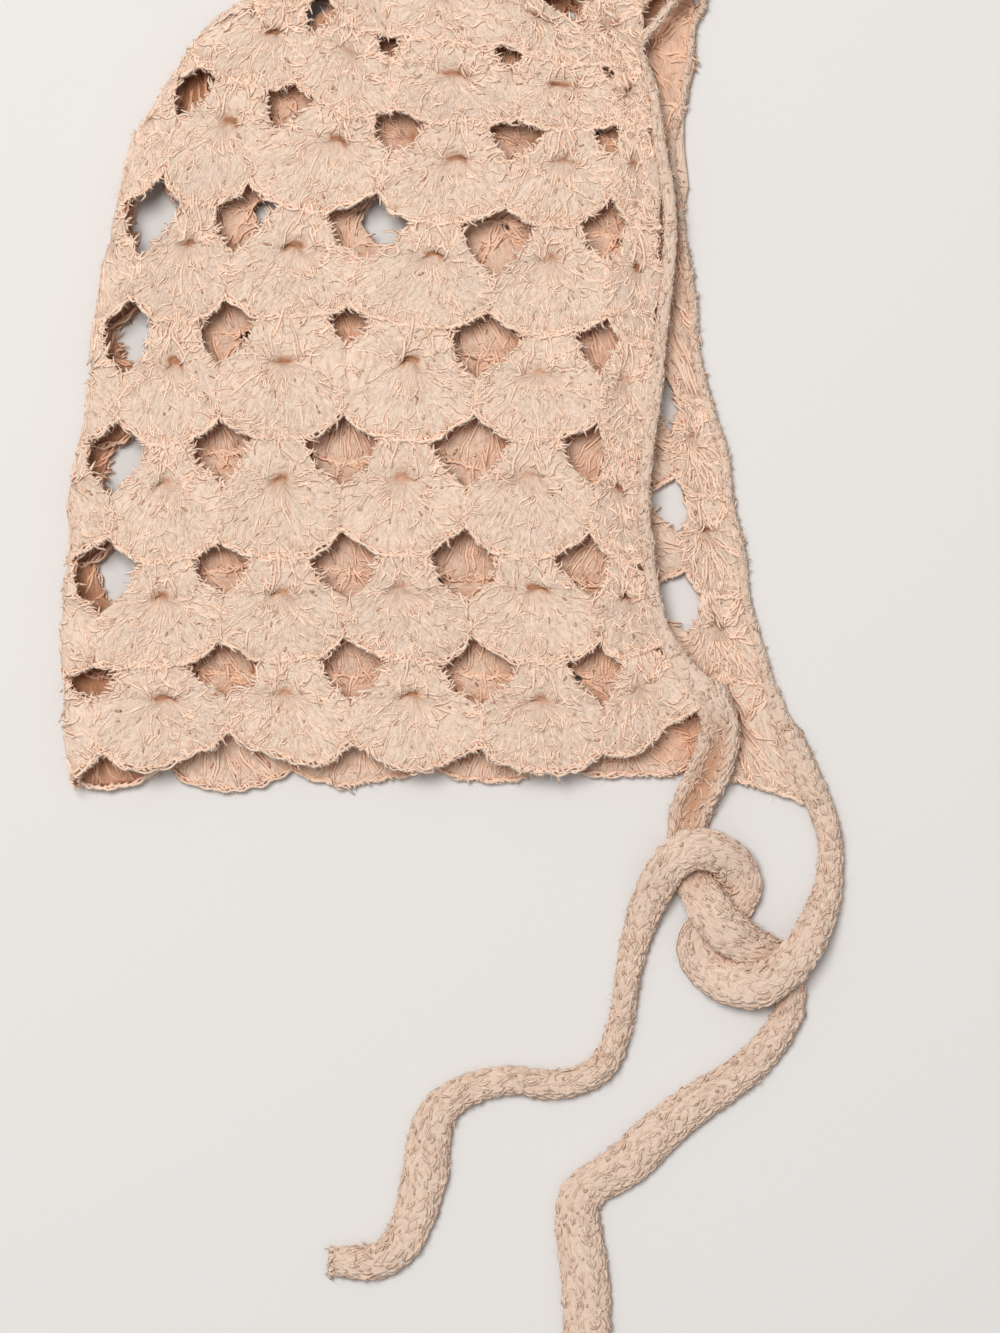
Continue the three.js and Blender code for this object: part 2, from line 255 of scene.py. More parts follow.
# chart of the openings: across, up and size, row after row from the neck up. Four of them are the
# corners of a shell. None stands where a row has no such opening, and the last of each row is a
# slit at the edging.
upperChart = [
    [(-108.5, -137.5, 0.9), (-65.5, -129, 1), (-25.8, -135.5, 1), (16.7, -135.5, 1), (58.1, -138.6, 1),
     (91.5, -112.5, 0.1)],
    [(-114.2, -104.2, 0.6), (-70, -99.5, 1), (-26.9, -98.8, 0.95), (16, -100.1, 1.05), (58.5, -100.1, 1),
     (80, -95.7, 0.5)],
    [(-109.2, -67.5, 1.05), (-70, -65.5, 0.85), (-28.6, -63.4, 1.05), (10.9, -63.4, 1), (54.1, -64.1, 1),
     (72.8, -68.5, 0.5)],
    [(-105.7, -27.7, 1.05), (-71.1, -25.3, 0.9), (-30.3, -26, 1), (13.3, -24.3, 1.1), (55.1, -26, 0.95),
     (71.3, -34.5, 0.5)],
    [(-102.3, 13.1, 1.05), (-70, 14.8, 0.95), (-27.5, 16.5, 0.55), (18.4, 9.7, 1), (59.2, 9.7, 0.9),
     (75.3, 4.6, 0.5)],
    [(-93.8, 53.9, 1.1), (-64.9, 53.9, 1), (-20.7, 50.5, 1.1), (23.5, 45.4, 1.1), (60.9, 50.5, 1),
     (78.5, 42, 0.5)],
    [(-80.2, 98.1, 0.8), (-47.9, 91.3, 0.8), (-10.5, 81.1, 0.75), (29.6, 79.4, 0.85), (61.5, 79.4, 0.75),
     (75.5, 79.4, 0.5)],
    [(-59.8, 121.9, 0), (-36, 121.6, 0.8), (-15.6, 109.3, 0.45), (26.9, 105.9, 0.5), (61.5, 100.5, 0.45),
     (71.5, 104.5, 0.2)],
    [(-38.4, 150.8, 0), (-38.4, 150.8, 0), (-10.5, 137.2, 0), (16, 131.1, 0.5), (47, 120.5, 0.85),
     (70, 122.9, 0.2)],
]
lowerChart = [
    [(-86, -145, 0.9), (-47.6, -142, 0.8), (-2, -140.5, 0.8), (42.8, -139.5, 0.8), (88.1, -137, 0.5),
     (127.5, -147, 0)],
    [(-90.4, -103.9, 0.9), (-45.9, -104.2, 0.8), (-1.4, -104.6, 0.6), (43.2, -105.2, 0.6),
     (87.7, -106.3, 0.6), (114.5, -107.6, 0.1)],
    [(-103, -69.2, 1), (-51, -69.9, 0.8), (-3.4, -71.2, 0.6), (41.5, -73.6, 0.65), (86.7, -77, 1),
     (106.3, -77.7, 0.15)],
    [(-99.5, -31, 1.05), (-51, -30.8, 0.8), (-5.1, -33.2, 0.8), (39.1, -37.2, 0.8), (83.3, -43, 0.9),
     (101, -44.7, 0.15)],
    [(-98.6, 11.4, 1), (-51, 10, 1), (-3.4, 5.6, 1), (43.9, -1.9, 1), (81, -10.5, 0.7),
     (94.5, -13.5, 0.15)],
    [(-92, 53.9, 1.05), (-54.1, 53.6, 0.5), (-14.6, 51.5, 0.85), (25.2, 48.5, 0.12), (64.6, 44, 0.12),
     (85, 45.4, 0.2)],
    [(-88.7, 86.2, 0.5), (-70, 92, 0.8), (-29.6, 91.6, 0.8), (10.9, 90.6, 0.8), (51.3, 88.9, 0.8),
     (86.4, 89.6, 0.1)],
    [None, (-34, 121.9, 0), (-34, 121.9, 0.2), (7.1, 121.9, 0.3), (47.9, 120.9, 0.2), (90.2, 121.9, 0.1)],
]


def bandCells(chart):
    # each cell is the corners top left, top right, bottom left and bottom right
    cells = []
    for lower, upper in zip(chart[:-1], chart[1:]):
        for j in range(len(upper) - 1):
            corners = (upper[j], upper[j + 1], lower[j], lower[j + 1])
            if None not in corners:
                cells.append(corners)
    return cells


def aroundNode(node):
    x, y = roundTheFold(node[:2])
    return (x, y, node[2])


def foldCells():
    # the column of shells that lies round the back fold, and the row over the crown
    column = [(aroundNode(lowerChart[k][0]), upperChart[k][0]) for k in range(7)]
    column.append((aroundNode(lowerChart[6][1]), upperChart[7][0]))
    column.append((upperChart[8][1], upperChart[8][1]))
    cells = [(*above, *below) for below, above in zip(column[:-1], column[1:])]
    far = [aroundNode(node) for node in (lowerChart[7][2], (-14, 121.9, 0), *lowerChart[7][3:])]
    near = upperChart[8][1:]
    for j in range(4):
        cells.append((far[j], far[j + 1], near[j], near[j + 1]))
    return cells


# mesh making
tableGap = 0.1  # nothing goes into the table


def keptOver(points, least):
    points = points.copy()
    points[..., 2] = np.maximum(points[..., 2], least)
    return points


def joinedMesh(name, points, faces, values):
    # faces is a list of arrays, each with one row of corner numbers for every face
    points = keptOver(points, tableGap)
    mesh = bpy.data.meshes.new(name)
    mesh.vertices.add(len(points))
    mesh.vertices.foreach_set("co", toMetres(points).astype(np.float32).ravel())
    corners = np.concatenate([f.ravel() for f in faces]).astype(np.int32)
    sizes = np.concatenate([np.full(len(f), f.shape[1]) for f in faces])
    starts = np.concatenate([[0], np.cumsum(sizes)[:-1]]).astype(np.int32)
    mesh.loops.add(len(corners))
    mesh.loops.foreach_set("vertex_index", corners)
    mesh.polygons.add(len(sizes))
    mesh.polygons.foreach_set("loop_start", starts)
    for key, value in values.items():
        kind, field = ("FLOAT_VECTOR", "vector") if value.ndim == 2 else ("FLOAT", "value")
        layer = mesh.attributes.new(key, kind, "POINT")
        layer.data.foreach_set(field, value.astype(np.float32).ravel())
    mesh.update(calc_edges=True)
    mesh.polygons.foreach_set("use_smooth", np.ones(len(sizes), bool))
    mesh.validate()
    print(name, int((sizes - 2).sum()), "triangles")
    return placed(name, mesh)


def ringFaces(count, rings, around, turned=False):
    # quads between the rings of closed pieces, with a cap at each end
    index = np.arange(count * rings * around).reshape(count, rings, around)
    a = index[:, :-1]
    b = index[:, 1:]
    quads = np.stack([a, np.roll(a, -1, axis=2), np.roll(b, -1, axis=2), b], axis=-1).reshape(-1, 4)
    caps = np.concatenate([index[:, 0, ::-1], index[:, -1]])
    if turned:
        return [quads[:, [0, 3, 2, 1]], caps[:, ::-1]]
    return [quads, caps]


# every strand of yarn is a thin closed tube
strand = {
    "sides": 3,
    "endTaper": 0.45,
    "thickness": (0.85, 1.2),  # share of its radius, drawn for each
    "tone": (0, 0.9),          # dark to pale, drawn for each
}


def circles(across, over):
    # the ways from a strand's middle to the corners of its cross-section
    angle = (2 * np.pi * np.arange(strand["sides"]) / strand["sides"])[:, None]
    return across[..., None, :] * np.cos(angle) + over[..., None, :] * np.sin(angle)


def tubes(paths, radii, upwards):
    # closed tubes round many lines at once: paths is lines x points x 3
    travel = travelOf(paths)
    across = unit(np.cross(travel, upwards))
    points = paths[:, :, None] + circles(across, np.cross(across, travel)) * radii[:, :, None, None]
    return points.reshape(-1, 3), ringFaces(*points.shape[:3])


class Bundle:
    # collects strands of several kinds into one mesh
    def __init__(self):
        self.points = []
        self.faces = []
        # painted shade of each point: how much of the deep colour it takes
        self.shadeDepth = []
        self.tone = []
        self.grain = []
        self.roots = []  # where tufts and fibres start: places, ways along and ways up
        self.total = 0

    def add(self, points, faces, shadeDepth, tone, grain=None):
        # grain counts strands across and along, for the bump between the modelled strands
        self.faces.extend([f + self.total for f in faces])
        self.points.append(points)
        self.shadeDepth.append(np.broadcast_to(shadeDepth, len(points)))
        self.tone.append(np.broadcast_to(tone, len(points)))
        self.grain.append(points * 0.5 if grain is None else grain)
        self.total += len(points)

    def addRoots(self, *parts):
        self.roots.append([part.reshape(-1, 3) for part in parts])

    def strands(self, paths, radius, upwards, shadeDepth):
        count, steps = paths.shape[:2]
        taper = np.ones(steps)
        taper[0] = taper[-1] = strand["endTaper"]
        thickness = radius * draw.uniform(*strand["thickness"], (count, 1)) * taper[None]
        points, faces = tubes(paths, thickness, upwards)
        tone = np.repeat(draw.uniform(*strand["tone"], count), steps * strand["sides"])
        self.add(points, faces, shadeDepth, tone)
        self.addRoots(paths, travelOf(paths), upwards)

    def build(self, name, inner=0.0):
        points = np.concatenate(self.points)
        # inner is how much painted shade the piece takes where the upper layer covers it
        return joinedMesh(name, points, self.faces, {
            "shadeDepth": np.concatenate(self.shadeDepth) + inner * shadeUnderUpper(points),
            "tone": np.concatenate(self.tone),
            "grain": np.concatenate(self.grain),
        })


def pickedRoots(bundles, count):
    places, travel, up = (np.concatenate([r[i] for b in bundles for r in b.roots]) for i in range(3))
    pick = draw.integers(0, len(places), count)
    return places[pick], travel[pick], up[pick]


# tufts of brushed yarn: how many, length, radius, rise and how far they turn from the strand
tufts = {
    "upperCloth": (6600, 6.0, 0.50, 0.0, 0.7),
    "upperRims": (900, 6.0, 0.45, 0.4, 0.45),
    "lowerCloth": (2150, 6.0, 0.50, 0.0, 0.7),
    "lowerStrands": (300, 7.0, 0.45, 0.6, 0.45),
    "edging": (1900, 5.0, 0.45, 0.1, 0.9),
    "near": (900, 6.0, 0.4, 0.3, 0.7),
    "far": (1000, 6.0, 0.4, 0.3, 0.7),
}
tuftSet = {
    "taper": [0.5, 0.95, 1.0, 0.95, 0.5],
    "wave": 0.8,
    "least": 0.3,    # lowest place over the table
    "fromTie": 9.2,  # no tuft of a tie goes further from its middle line
}


def locks(bundle, kind, line=None, target=None):
    # short wavy tufts that lie over the strands, on a tie only near its line
    count, length, radius, lift, turned = tufts[kind]
    places, travel, up = pickedRoots([bundle], count)
    way = unit(travel + turned * draw.normal(size=(count, 1)) * np.cross(travel, up))
    side = np.cross(way, up)
    taper = np.array(tuftSet["taper"])
    t = np.linspace(-0.5, 0.5, len(taper))[None, :, None]
    reach = length * draw.uniform(0.5, 1.2, (count, 1, 1))
    waves = draw.uniform(0.5, 1.0, (count, 1, 1))
    wave = tuftSet["wave"] * np.sin(2 * np.pi * t * waves + draw.uniform(0, 6.3, (count, 1, 1)))
    rise = lift * draw.uniform(0.25, 1, (count, 1, 1)) * (1 - 5 * t**2)
    paths = places[:, None] + way[:, None] * reach * t + side[:, None] * wave + up[:, None] * rise
    paths = keptOver(paths, tuftSet["least"])
    if line is not None:
        gap = np.linalg.norm(paths[:, [0, 2, 4], None] - line[None, None, ::2], axis=-1).min(axis=2)
        keep = gap.max(axis=1) < tuftSet["fromTie"]
        paths, up = paths[keep], up[keep]
    count, steps = paths.shape[:2]
    upwards = np.repeat(up[:, None], steps, axis=1)
    thickness = radius * draw.uniform(0.7, 1.25, (count, 1)) * taper[None]
    points, faces = tubes(paths, thickness, upwards)
    target = target or bundle
    target.add(points, faces, 0.0, np.repeat(draw.uniform(0.2, 1.0, count), steps * strand["sides"]))
    target.addRoots(paths, travelOf(paths), upwards)


# shells
shell = {
    "heartLevel": 0.29,     # where the posts of a shell start, from its top row of openings
    "heartHalf": 0.17,      # half width of the short chain that carries them
    "dotLevel": -0.17,      # where its two legs start, in the shell above
    "arcLevel": 0.955,      # lowest place of its rim
    "cuspDrop": 0.28,
    "square": 2.3,          # how square its lower edge is
    "cornerSquare": 1.6,    # the same where the hem meets the fold
    "fans": [(11, 0.14, 7, "post"), (20, 0.36, 5, "filler")],  # strands, start, points and rope
    "jitter": 0.045,        # how unevenly the posts spread
    "lowerRaised": 0.5,     # how much the posts of the lower layer stand out
    # painted shade: gaps and gapRings place the dark lenses on each shell
    "gaps": 13,             # small dark gaps between the stitches of each shell
    "gapRings": (2.7, 5.9),  # the rings of the felted patch between which they lie
    "rimLoops": 21,
    "sideLoops": 8,
    "slitRings": 2,         # the first rings of the felted patch line its slit
    "rootRings": (3, 4, 5, 5, 6, 6),  # rings on which tufts stand, twice as many on the outer ones
}

# rings of the felted patch, from the slit at its heart over the top to the rim and back below:
# share of the way out across and down, height, and how much painted shade it takes
clothRings = np.array([
    [0.0001, 0.0001, -2.6, 1.0],
    [0.16, 0.085, -2.4, 1.2],
    [0.25, 0.16, 0.1, 0.1],
    [0.45, 0.36, 0.5, 0.0],
    [0.65, 0.60, 0.6, 0.0],
    [0.84, 0.82, 0.6, 0.0],
    [0.96, 0.96, 0.5, 0.0],
    [1.0, 1.0, 0.0, 0.15],
    [0.94, 0.94, -1.2, 0.6],
    [0.6, 0.6, -1.8, 0.8],
    [0.0001, 0.0001, -1.8, 0.8],
])

# ropes of yarn: plies, turns, radius of a ply, how far the plies stand apart, and how far the
# rope strays from its line
ropes = {
    "post": (2, 1.3, 0.62, 0.8, 1.3),
    "filler": (1, 1.3, 0.62, 0.8, 1.3),
    "leg": (2, 1.1, 0.62, 0.9, 1.0),
    "running": (1, 6, 0.6, 0.5, 0.6),
    "rimLoop": (1, 0.5, 0.58, 0.2, 0.15),
    "sideLoop": (1, 0.5, 0.5, 0.3, 0.3),
}

# painted shade of small gaps: how far they turn from the stitches, length and width
shadeLensSizes = {"shell": (0.5, 1.05, 0.46), "knitted": (0.3, 0.75, 0.5)}


class Layer:
    # the cells of one layer with the way they lie in space
    def __init__(self, cells, place):
        corners = np.array(cells)
        self.place = place
        self.count = len(corners)
        self.topLeft, self.topRight, self.lowLeft, self.lowRight = (corners[:, i, :2] for i in range(4))
        self.size = corners[:, :, 2]
        self.shift = draw.uniform(-1, 1, (self.count, 4))  # makes each shell a little different
        self.square = np.full((self.count, 1), shell["square"])

    def plan(self, u, q):
        # u runs from -1 to 1 across each cell and q from 0 to 1 down it; both are cells x points
        left = self.topLeft[:, None] * (1 - q[..., None]) + self.lowLeft[:, None] * q[..., None]
        right = self.topRight[:, None] * (1 - q[..., None]) + self.lowRight[:, None] * q[..., None]
        t = (u[..., None] + 1) / 2
        flat = left * (1 - t) + right * t
        wave = np.stack([ripple(flat, 26, 11), ripple(flat, 26, 12)], axis=-1)
        fine = np.stack([ripple(flat, 9, 13), ripple(flat, 9, 14)], axis=-1)
        return flat + wave + 0.35 * fine

    def top(self, side):
        return self.size[:, 1 if side > 0 else 0][:, None]

    def cusp(self, side):
        return 1 - shell["cuspDrop"] * self.size[:, 3 if side > 0 else 2][:, None]

    def arc(self, u):
        # level of the rim at u, for every cell
        low = shell["arcLevel"] + 0.012 * self.shift[:, :1]
        ends = np.where(u > 0, self.cusp(1), self.cusp(-1))
        return low - (low - ends) * np.abs(u) ** self.square

    def heart(self):
        return 0.06 * self.shift[:, 1:2], shell["heartLevel"] + 0.02 * self.shift[:, 2:3]

    def outline(self):
        # closed outline of each shell, from its top centre clockwise
        one = np.ones((self.count, 1))
        sides = []
        for side in (1, -1):
            top = self.top(side)
            # from the top along the opening at the corner, then down the side to the cusp
            keys = [
                (0.0, -0.14),
                (1 - 0.62 * top, -0.07),
                (1 - 0.39 * top, (0.20 + 0.035 * side * self.shift[:, 2:3]) * top),
                (1.0, 0.36 * top),
                (1.06, 0.58),
                (1.0, self.cusp(side)),
            ]
            keys.extend((u, self.arc(side * u * one)) for u in (0.75, 0.5, 0.25, 0.0))
            u = np.concatenate([k[0] * one for k in keys], axis=1) * side
            q = np.concatenate([k[1] * one for k in keys], axis=1)
            sides.append(np.stack([u, q]))
        loop = np.concatenate([sides[0], sides[1][..., -2:0:-1]], axis=2)
        steps = loop.shape[2]
        marks = np.arange(2 * steps) / 2
        whole = marks.astype(int)
        part = marks - whole
        return loop[..., whole] * (1 - part) + loop[..., (whole + 1) % steps] * part


def shadeLenses(bundle, centre, along, up, sizes):
    # painted shade in small gaps between the stitches, as flat dark lenses in the surface
    turned, longest, widest = sizes
    around = 6
    count = len(centre)
    along = unit(along + turned * draw.normal(size=(count, 1)) * np.cross(up, along))
    across = np.cross(up, along)
    step = np.arange(around)
    angle = (2 * np.pi * step / around)[None, :, None]
    half = longest * draw.uniform(0.55, 1.4, (count, 1, 1))
    wide = widest * draw.uniform(0.6, 1.2, (count, 1, 1))
    middle = centre[:, None]
    ring = middle + along[:, None] * half * np.cos(angle) + across[:, None] * wide * np.sin(angle)
    above = middle + 0.22 * up[:, None]
    below = middle - 0.4 * up[:, None]
    points = np.concatenate([ring, above, below], axis=1)
    after = (step + 1) % around
    upper = np.stack([step, after, np.full(around, around)], axis=-1)
    under = np.stack([after, step, np.full(around, around + 1)], axis=-1)
    each = points.shape[1]
    faces = (each * np.arange(count)[:, None, None] + np.concatenate([upper, under])[None]).reshape(-1, 3)
    shade = np.repeat(draw.uniform(0.25, 0.65, count), each)
    bundle.add(points.reshape(-1, 3), [faces], shade, -1.6 * shade)


def stitchShadeLenses(grid, bundle):
    # painted shade gaps strewn over each shell, in line with its fan
    count, _, around = grid.shape[:3]
    cell = np.repeat(np.arange(count), shell["gaps"])
    level = draw.uniform(*shell["gapRings"], len(cell))
    turn = draw.integers(0, around, len(cell))
    low = level.astype(int)
    inner = grid[cell, low, turn]
    outer = grid[cell, low + 1, turn]
    nextOne = grid[cell, low, (turn + 1) % around]
    along = unit(outer - inner)
    up = unit(np.cross(along, nextOne - inner))
    shadeLenses(bundle, inner + (outer - inner) * (level - low)[:, None], along, up, shadeLensSizes["shell"])


def shellCloth(layer, bundle):
    # the felted body of each shell: a closed, crowned patch from its heart to its outline
    u, q = layer.outline()
    heartU, heartQ = layer.heart()
    rings = []
    shades = []
    for ring, (shareU, shareQ, height, ringShade) in enumerate(clothRings):
        slit = float(ring < shell["slitRings"])
        size = 1 - slit * (0.22 - 0.25 * layer.shift[:, 3:4])
        ringU = heartU + (u - heartU) * shareU * size
        ringQ = heartQ + (q - heartQ) * shareQ * size
        ringQ = ringQ + slit * 0.32 * layer.shift[:, 2:3] * (ringU - heartU)
        onTop = height > -1
        h = height - 0.35 * smoothStep(-ringQ / 0.12) * onTop
        shade = np.full(ringQ.shape, ringShade)
        # the slit is deep along its upper edge only, in shape and in painted shade
        risen = smoothStep((ringQ - heartQ) / 0.05 + 0.35)
        risen = slit * (1 - (1 - risen) * (0.62 + 0.38 * layer.shift[:, 1:2]))
        h = h + (0.1 - h) * risen
        shades.append(shade + (0.15 - shade) * risen)
        flat = layer.plan(ringU, ringQ)
        rings.append(layer.place(flat, h + 0.25 * ripple(flat, 9, 21) * onTop))
    grid = np.stack(rings, axis=1)
    count, levels, around = grid.shape[:3]
    for level in shell["rootRings"]:
        # tufts lie along the fan, and round the rim on the last ring
        start = grid[:, level]
        last = level == max(shell["rootRings"])
        onward = np.roll(start, -1, axis=1) if last else grid[:, level + 1]
        shareU, shareQ, height, _ = clothRings[level]
        flat = layer.plan(heartU + (u - heartU) * shareU, heartQ + (q - heartQ) * shareQ)
        _, up = lifted(layer, flat, height)
        bundle.addRoots(start, unit(onward - start), up)
    stitchShadeLenses(grid, bundle)
    shadeDepth = np.stack(shades, axis=1).ravel()
    # painted shade: the most shaded places are darkened as well
    tone = np.repeat(draw.uniform(0.3, 0.7, count), levels * around) - 6.0 * np.clip(shadeDepth - 0.4, 0, 0.7)
    turn = 2 * np.pi * np.arange(around) / around
    reach = clothRings[:, 1][None, :, None] * np.ones((count, 1, around))
    wide = 12.0 * (0.2 + 0.8 * reach)
    patch = 30.0 * draw.uniform(0, 9, (count, 1, 1))
    grain = np.stack([wide * np.cos(turn) + patch, wide * np.sin(turn), 4.0 * reach], axis=-1)
    bundle.add(grid.reshape(-1, 3), ringFaces(count, levels, around, True), shadeDepth, tone,
               grain.reshape(-1, 3))


def lifted(layer, flat, h):
    # places lines and finds which way is up from the cloth
    low = layer.place(flat, h)
    high = layer.place(flat, h + 0.5)
    up = high - low
    up[..., 2] += 1e-4
    return low, unit(up)


def postTips(layer, posts):
    # where the posts end, from the upper left round the rim to the upper right
    rimPart, sidePart = 0.48, 0.72  # from the middle out to the corner, and on to the opening
    u = []
    q = []
    half = (posts - 1) / 2
    for k in range(posts):
        side = 1 if k > half else -1
        top = layer.top(side)
        cusp = layer.cusp(side)
        t = abs(k - half) / half
        if t < rimPart:
            across = np.full((layer.count, 1), t / rimPart * 0.86)
            level = layer.arc(side * across) - 0.015
        elif t < sidePart:
            across = np.full((layer.count, 1), 1.05)
            level = cusp + (0.42 * top + 0.04 - cusp) * (t - rimPart) / 0.24
        else:
            s = (t - sidePart) / 0.28
            across = 1.0 - (0.56 * top - 0.02) * s
            level = (0.38 * top + 0.02) * (1 - s) - 0.05 * s
        u.append(side * across)
        q.append(level)
    u = np.concatenate(u, axis=1)
    q = np.concatenate(q, axis=1)
    u = u + shell["jitter"] * draw.normal(size=u.shape)
    q = q + 0.5 * shell["jitter"] * draw.normal(size=q.shape)
    return u, q


def twistedRope(layer, u, q, height, rope, bundle, shadeDepth=0.0, facing=1):
    # plies twisted round lines given in cell shares: u and q are cells x lines x points
    plies, turns, radius, offset, wander = rope
    count, lines, steps = u.shape
    flat = layer.plan(u.reshape(count, -1), q.reshape(count, -1)).reshape(count * lines, steps, 2)
    t = np.linspace(0, 1, steps)[None]
    phase = draw.uniform(0, 2 * np.pi, (count * lines, 1))
    swing = draw.uniform(-1, 1, (count * lines, 2))
    across = -rightOf(flat)
    bow = wander * (swing[:, :1] * np.sin(np.pi * t) + 0.7 * swing[:, 1:] * np.sin(2 * np.pi * t + phase))
    h = np.broadcast_to(height, (count, lines, steps)).reshape(count * lines, steps)
    for ply in range(plies):
        turn = 2 * np.pi * (turns * t + ply / plies) + phase
        spread = offset * (0.6 + 0.4 * np.sin(np.pi * t))
        line = flat + across * (bow + spread * np.sin(turn))[..., None]
        lift = h + 0.45 * offset * np.cos(turn) + 0.12 * draw.normal(size=(count * lines, 1))
        if facing < 0:
            lift = -1.35 - 0.6 * lift  # on the inner side of the cloth
        paths, up = lifted(layer, line, lift)
        bundle.strands(paths, radius, up, shadeDepth)


def shellPosts(layer, bundle, facing=1, raised=0.0):
    # long posts from the heart, and shorter strands that fill the fan further out
    heartU, heartQ = layer.heart()
    for posts, first, steps, rope in shell["fans"]:
        plies, turns, *rest = ropes[rope]
        tipU, tipQ = postTips(layer, posts)
        t = np.linspace(first, 1, steps)[None, None]
        spread = np.clip(tipU / 0.97, -1, 1) * shell["heartHalf"]
        startU = heartU + spread
        startQ = heartQ + 0.03 * np.abs(spread) / shell["heartHalf"]
        u = startU[..., None] + (tipU - startU)[..., None] * t
        q = startQ[..., None] + (tipQ - startQ)[..., None] * t
        profile = np.interp(t[0, 0], [0, 0.25, 0.6, 0.9, 1], [-0.6, -0.1, 0.0, 0.0, -0.15])
        height = profile[None, None] + raised - smoothStep(-q / 0.1) - (0.15 if plies == 1 else 0)
        # posts on the inner side of the fold take painted shade
        twistedRope(layer, u, q, height, (plies, turns * (1 - first), *rest), bundle,
                    0.02 if facing > 0 else 0.5, facing)


def shellLegs(layer, bundle):
    # two legs from the shell above down to each heart
    heartU, heartQ = layer.heart()
    t = np.linspace(0, 1, 8)[None, None]
    start = np.array([-0.03, 0.03])[None, :, None]
    end = np.array([-0.25, 0.25])[None, :, None]
    u = heartU[..., None] * t + start + (end - start) * t**1.3
    q = shell["dotLevel"] + (heartQ[..., None] - shell["dotLevel"] + 0.01) * t + 0 * start
    height = np.interp(t[0, 0], [0, 0.3, 0.7, 1], [0.1, 0.4, 0.4, 0.1])[None, None]
    # the legs take a little painted shade
    twistedRope(layer, u, q, height, ropes["leg"], bundle, 0.03)


def shellRims(layer, bundle, facing=1):
    # two running strands and a row of slanting loops along the lower edge of each shell
    t = np.linspace(-1, 1, 27)[None]
    u = np.repeat(t, layer.count, axis=0)
    q = layer.arc(u) - 0.006
    sunk = 0.35 * (1 - np.abs(t) ** 2)[None]
    both = (np.stack([u, u], axis=1), np.stack([q - 0.006, q + 0.012], axis=1))
    twistedRope(layer, *both, 0.7 - sunk, ropes["running"], bundle, 0.0, facing)
    loops = shell["rimLoops"]
    centre = np.linspace(-0.97, 0.97, loops)[None] + draw.uniform(-0.015, 0.015, (layer.count, loops))
    steps = np.linspace(-1, 1, 5)[None, None]
    u = centre[..., None] + 0.045 * steps
    q = layer.arc(centre)[..., None] - 0.004 + 0.028 * steps
    height = 0.4 + 0.5 * (1 - steps**2) - 0.35 * (1 - centre[..., None] ** 2)
    twistedRope(layer, u, q, height, ropes["rimLoop"], bundle, 0.0, facing)


def shellSides(layer, bundle):
    # short loops along both sides of each shell, where it borders an opening
    loops = shell["sideLoops"]
    part = np.linspace(0.05, 0.95, loops)[None] + draw.uniform(-0.04, 0.04, (layer.count, loops))
    steps = np.linspace(-1, 1, 4)[None, None]
    height = 0.25 + 0.35 * (1 - steps**2)
    for side in (1, -1):
        top = layer.top(side)
        u = side * (1 - 0.62 * top * (1 - part) ** 0.6)
        q = -0.05 + (0.37 * top + 0.06) * part
        u = u[..., None] + 0.06 * side * steps
        q = q[..., None] + 0.03 * steps * draw.uniform(-1.2, 1, (layer.count, loops, 1))
        twistedRope(layer, u, q, height, ropes["sideLoop"], bundle)


upperLayer = Layer(bandCells(upperChart) + foldCells(), placeUpper)
upperLayer.square[len(bandCells(upperChart))] = shell["cornerSquare"]
lowerLayer = Layer(bandCells(lowerChart), placeLower)
print("cells", upperLayer.count, lowerLayer.count)

upperCloth = Bundle()
shellCloth(upperLayer, upperCloth)
upperTufts = Bundle()
locks(upperCloth, "upperCloth", target=upperTufts)
upperPosts = Bundle()
shellPosts(upperLayer, upperPosts)
upperRims = Bundle()
shellLegs(upperLayer, upperRims)
shellRims(upperLayer, upperRims)
shellSides(upperLayer, upperRims)
locks(upperRims, "upperRims")
foldInside = Bundle()
insideLayer = Layer(foldCells()[:7], placeUpper)
insideLayer.square[0] = shell["cornerSquare"]
shellPosts(insideLayer, foldInside, -1)
shellRims(insideLayer, foldInside, -1)
lowerCloth = Bundle()
shellCloth(lowerLayer, lowerCloth)
lowerTufts = Bundle()
locks(lowerCloth, "lowerCloth", target=lowerTufts)
lowerStrands = Bundle()
shellPosts(lowerLayer, lowerStrands, 1, shell["lowerRaised"])
shellLegs(lowerLayer, lowerStrands)
shellRims(lowerLayer, lowerStrands)
locks(lowerStrands, "lowerStrands")
print("shells ready")


